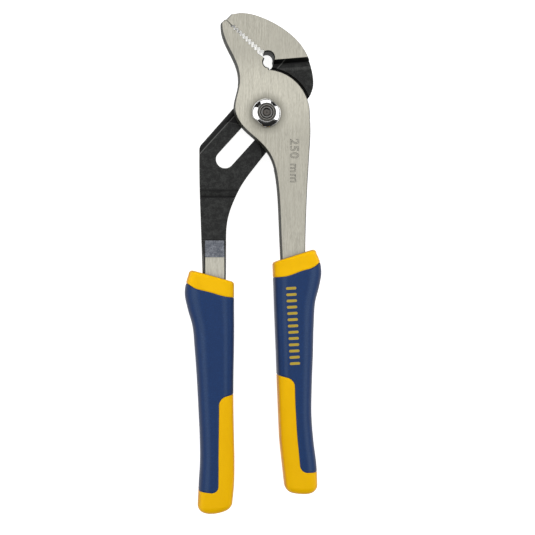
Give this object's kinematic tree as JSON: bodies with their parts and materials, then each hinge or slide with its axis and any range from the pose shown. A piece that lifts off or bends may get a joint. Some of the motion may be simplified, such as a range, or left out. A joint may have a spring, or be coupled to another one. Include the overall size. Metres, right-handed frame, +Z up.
{
  "type": "groove-joint pliers",
  "caption": "Groove-joint pliers with toothed jaws, a slotted lever on a bolt and two-colour grips.",
  "frame": {"origin": "bottom centre of the whole tool's box, lying on its back with the jaws closed", "axes": "+Y from the grips to the jaws, +X to the side of the lower jaw lever's grip, +Z up out of the face that carries the nut"},
  "size_m": [0.0694, 0.2526, 0.0176],
  "materials": {
    "ground_steel": "ground satin faces, dark forged sides",
    "black_steel": "black forged finish, ground satin on the jaw face and on the tang",
    "polished_steel": "polished",
    "yellow_core": "satin moulded plastic",
    "blue_cover": "finely textured soft rubber"
  },
  "bodies": {
    "lower_half": {"lower_jaw_lever": "ground_steel", "right_grip_core": "yellow_core", "right_grip_cover": "blue_cover"},
    "pivot": {"pivot_bolt": "polished_steel", "pivot_nut": "polished_steel"},
    "upper_half": {"upper_jaw_lever": "black_steel", "left_grip_core": "yellow_core", "left_grip_cover": "blue_cover"}
  },
  "joints": [
    {"name": "jaw_pivot", "type": "hinge", "parent": "lower_half", "child": "pivot", "pos_m": [0.0063, 0.0753, 0.0085], "axis": [0, 0, -1], "range_deg": [0, 50]},
    {"name": "groove_slide", "type": "slide", "parent": "pivot", "child": "upper_half", "axis": [0.6691, 0.7431, 0], "range_m": [0, 0.0294]}
  ]
}
